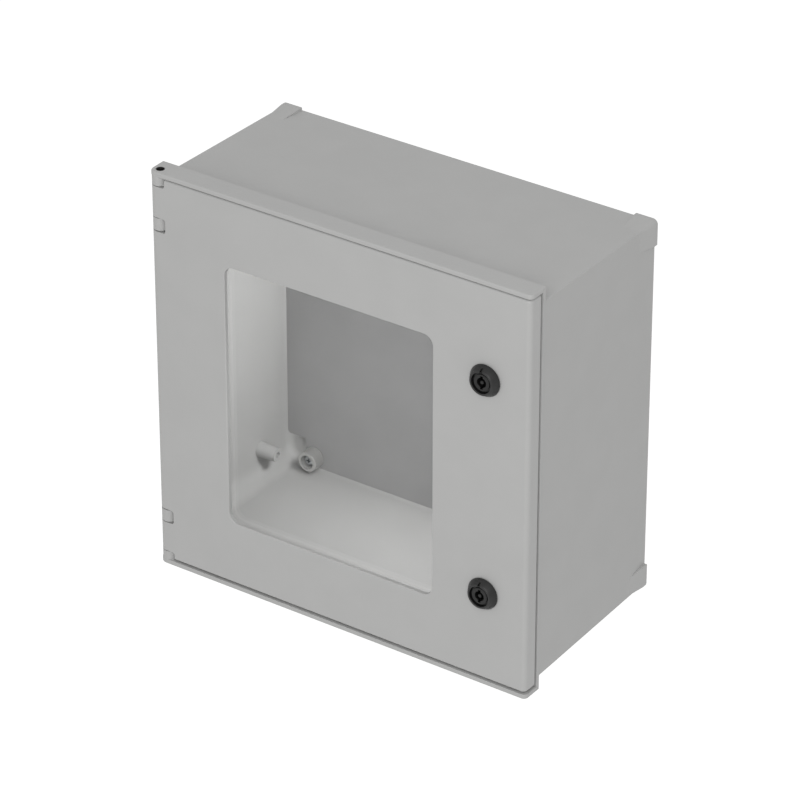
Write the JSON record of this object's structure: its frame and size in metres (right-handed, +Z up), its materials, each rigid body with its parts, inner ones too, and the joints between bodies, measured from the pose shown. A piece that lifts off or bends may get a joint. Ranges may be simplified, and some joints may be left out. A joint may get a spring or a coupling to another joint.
{
  "type": "wall-mount enclosure",
  "caption": "Square wall-mount enclosure of moulded glass-fibre polyester with a hinged glazed door, quarter-turn key locks and a grey mounting plate inside.",
  "frame": {"origin": "centre of the four wall fixing holes, on the rear face that lies on the wall", "axes": "+X to the right as seen from the front, +Y into the wall, +Z up"},
  "size_m": [0.4, 0.2045, 0.4],
  "materials": {
    "housing": "moulded, fine grain, light grey",
    "mounting_plate": "flat sheet, mid grey",
    "plate_bushes": "moulded, light grey",
    "plate_screws": "zinc plated",
    "plate_inserts": "turned",
    "hinge_pins": "drawn",
    "keepers": "zinc plated",
    "small_screws": "zinc plated",
    "door": "moulded, fine grain, light grey",
    "door_gasket": "foamed polyurethane",
    "window_pane": "clear polycarbonate",
    "window_gasket": "flat strip",
    "window_clips": "zinc plated",
    "lock_bodies": "moulded, black",
    "lock_seals": "flat ring",
    "lock_nuts": "moulded, black",
    "lock_cores": "moulded, black",
    "lock_cams": "zinc plated",
    "cam_fasteners": "zinc plated"
  },
  "bodies": {
    "housing": {"housing": "housing", "mounting_plate": "mounting_plate", "plate_bushes": "plate_bushes", "plate_screws": "plate_screws", "plate_inserts": "plate_inserts", "hinge_pin_upper": "hinge_pins", "hinge_pin_lower": "hinge_pins", "keeper_upper": "keepers", "keeper_lower": "keepers", "keeper_screws": "small_screws"},
    "door": {"door": "door", "door_gasket": "door_gasket", "window_pane": "window_pane", "window_gasket": "window_gasket", "window_clips": "window_clips", "window_clip_screws": "small_screws", "lock_body_upper": "lock_bodies", "lock_body_lower": "lock_bodies", "lock_seal_upper": "lock_seals", "lock_seal_lower": "lock_seals", "lock_nut_upper": "lock_nuts", "lock_nut_lower": "lock_nuts"},
    "upper_lock": {"lock_core_upper": "lock_cores", "lock_cam_upper": "lock_cams", "cam_washer_upper": "cam_fasteners", "cam_screw_upper": "cam_fasteners"},
    "lower_lock": {"lock_core_lower": "lock_cores", "lock_cam_lower": "lock_cams", "cam_washer_lower": "cam_fasteners", "cam_screw_lower": "cam_fasteners"}
  },
  "joints": [
    {"name": "door_hinge", "type": "hinge", "parent": "housing", "child": "door", "pos_m": [-0.1919, -0.1894, 0], "axis": [0, 0, -1], "range_deg": [0, 180]},
    {"name": "upper_lock_turn", "type": "hinge", "parent": "door", "child": "upper_lock", "pos_m": [0.155, -0.19, 0.106], "axis": [0, 1, 0], "range_deg": [0, 90]},
    {"name": "lower_lock_turn", "type": "hinge", "parent": "door", "child": "lower_lock", "pos_m": [0.155, -0.19, -0.106], "axis": [0, 1, 0], "range_deg": [0, 90]}
  ]
}
